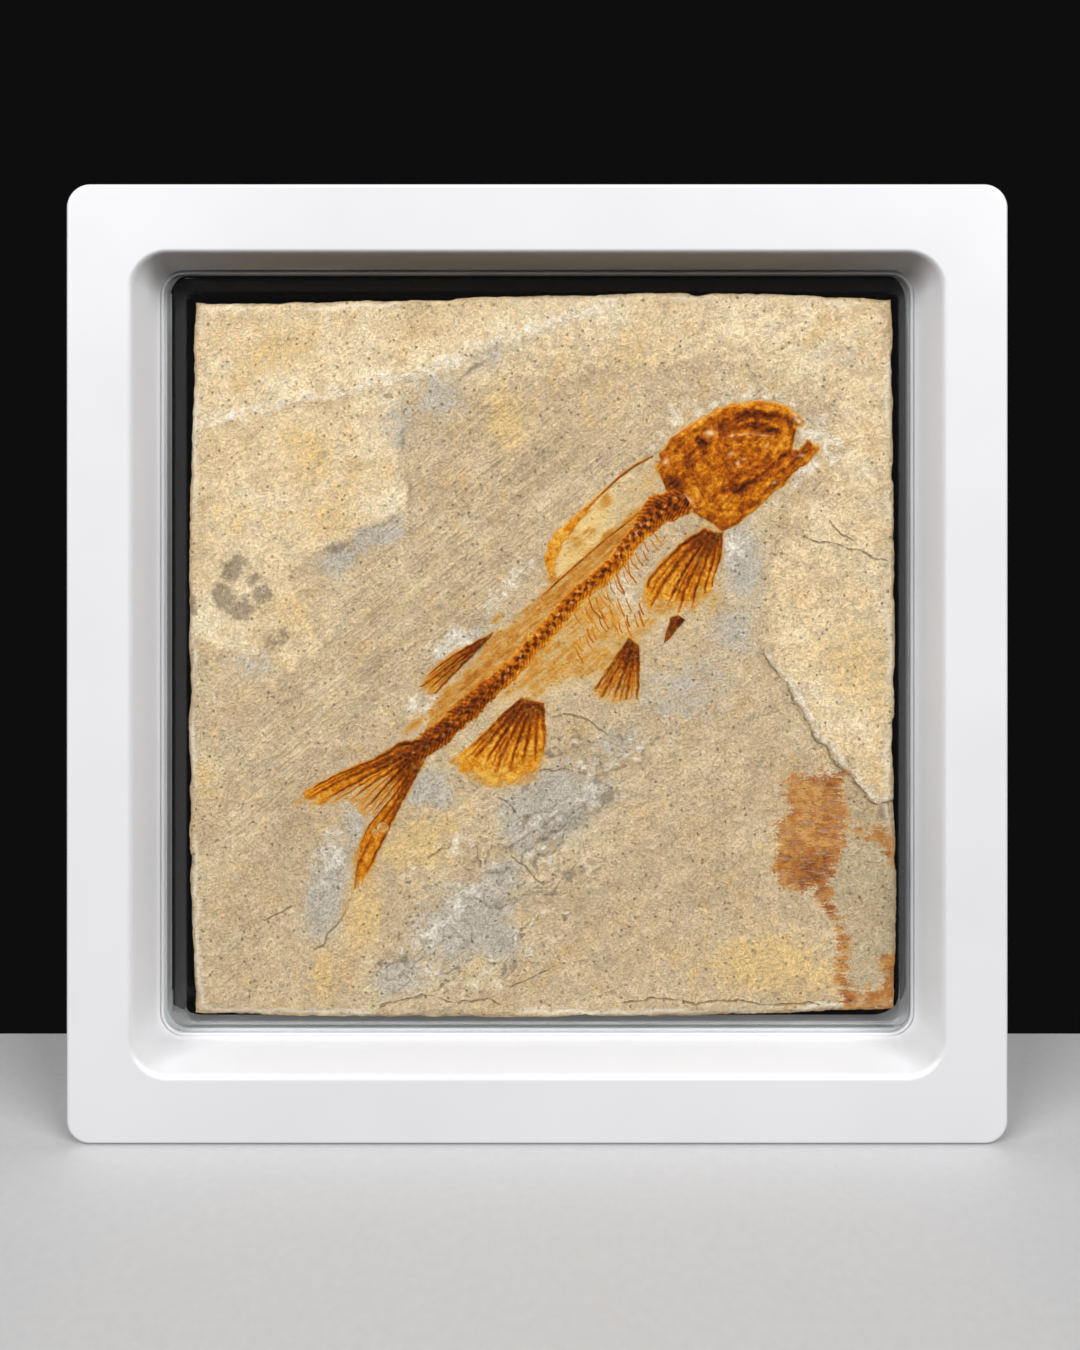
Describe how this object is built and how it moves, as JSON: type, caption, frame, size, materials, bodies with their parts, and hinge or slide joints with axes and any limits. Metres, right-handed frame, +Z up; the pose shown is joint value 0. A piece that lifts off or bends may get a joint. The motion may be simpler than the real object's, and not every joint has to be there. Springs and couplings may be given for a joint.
{
  "type": "fossil fish slab",
  "caption": "Square limestone slab with a fossil fish in low relief, held between clear elastic films in a white free-standing display frame.",
  "frame": {"origin": "centre of the frame's footprint on the surface it stands on", "axes": "+Z up, +X to the right as seen from the fish's side, and the fish's side faces -Y"},
  "size_m": [0.2, 0.025, 0.204],
  "materials": {
    "white_plastic": "smooth moulded white, satin to gloss",
    "clear_film": "clear elastic film, glossy",
    "limestone": "matt, split along its bedding, mottled cream and grey",
    "fossil_bone": "mineralised bone, amber to dark brown, slightly waxy"
  },
  "bodies": {
    "root": {"fossil_slab": "limestone", "front_film": "clear_film", "back_film": "clear_film", "front_frame": "white_plastic", "back_frame": "white_plastic"}
  },
  "joints": []
}
